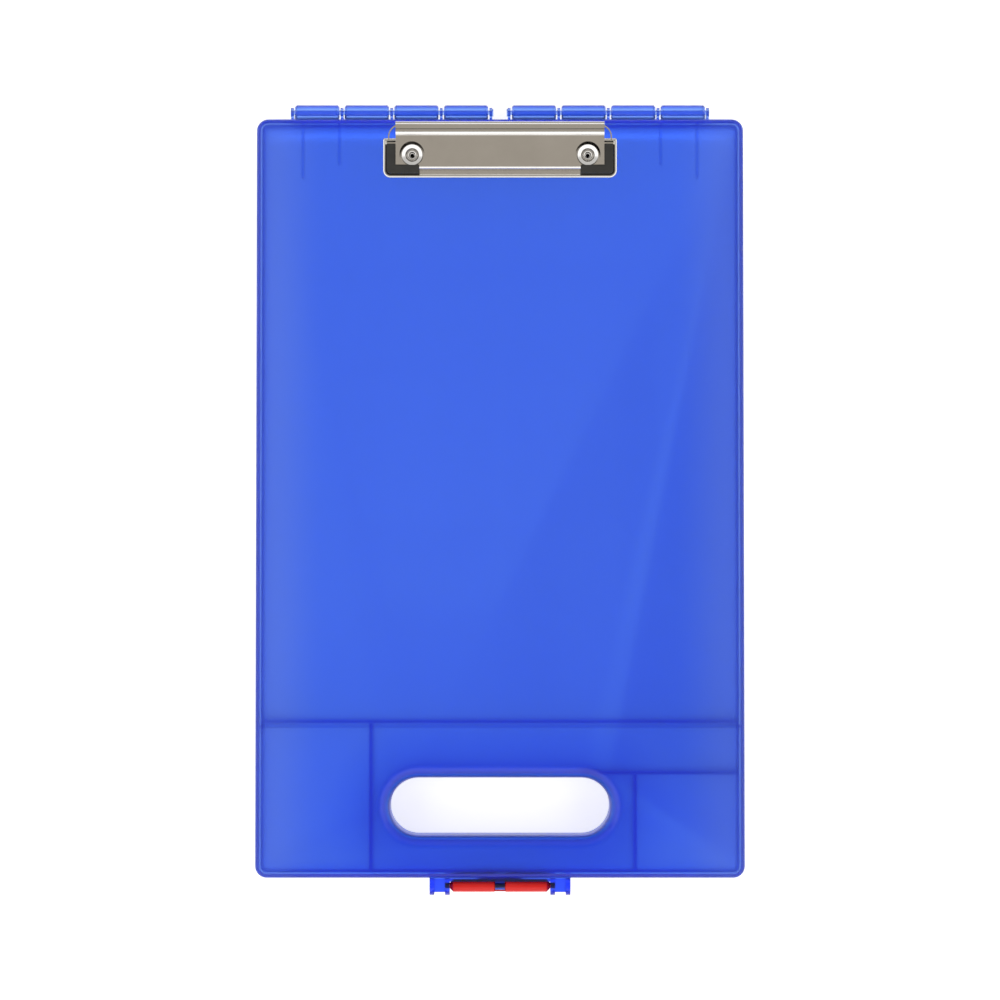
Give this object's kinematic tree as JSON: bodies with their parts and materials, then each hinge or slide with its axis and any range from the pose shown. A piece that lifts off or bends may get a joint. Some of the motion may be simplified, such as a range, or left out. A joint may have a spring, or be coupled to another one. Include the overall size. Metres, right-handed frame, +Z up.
{
  "type": "storage clipboard box",
  "caption": "Slim hinged storage case for letter paper with a spring clip on its writing lid, a stadium carrying hole, a snap latch and divided bays inside.",
  "frame": {"origin": "centre of the tray's underside, on the surface that the case lies on", "axes": "+X across the width, +Y along the length towards the hinge and the clip, +Z up through the writing board"},
  "size_m": [0.254, 0.4123, 0.0371],
  "materials": {
    "case_plastic": "frosted translucent",
    "rod_plastic": "moulded",
    "latch_plastic": "satin moulded",
    "clip_steel": "nickel plated",
    "spring_steel": "drawn wire",
    "grip_rubber": "matte moulded",
    "rivet_steel": "nickel plated"
  },
  "bodies": {
    "case": {"tray": "case_plastic", "hinge_rod_left": "rod_plastic", "hinge_rod_right": "rod_plastic"},
    "lid": {"lid": "case_plastic", "clip_base": "clip_steel", "clip_pin": "clip_steel", "clip_rivets": "rivet_steel"},
    "jaw": {"clip_jaw": "clip_steel", "clip_spring_left": "spring_steel", "clip_spring_right": "spring_steel", "grip_left": "grip_rubber", "grip_right": "grip_rubber"},
    "latch": {"latch": "latch_plastic"}
  },
  "joints": [
    {"name": "lid_hinge", "type": "hinge", "parent": "case", "child": "lid", "pos_m": [0, 0.2018, 0.02], "axis": [-1, 0, 0], "range_deg": [0, 180]},
    {"name": "latch_hinge", "type": "hinge", "parent": "lid", "child": "latch", "pos_m": [0, -0.2017, 0.0226], "axis": [-1, 0, 0], "range_deg": [0, 120]},
    {"name": "clip_hinge", "type": "hinge", "parent": "lid", "child": "jaw", "pos_m": [0, 0.1903, 0.0335], "axis": [-1, 0, 0], "range_deg": [0, 25], "stiffness_Nm_per_rad": 0.6, "springref_deg": -28.65}
  ]
}
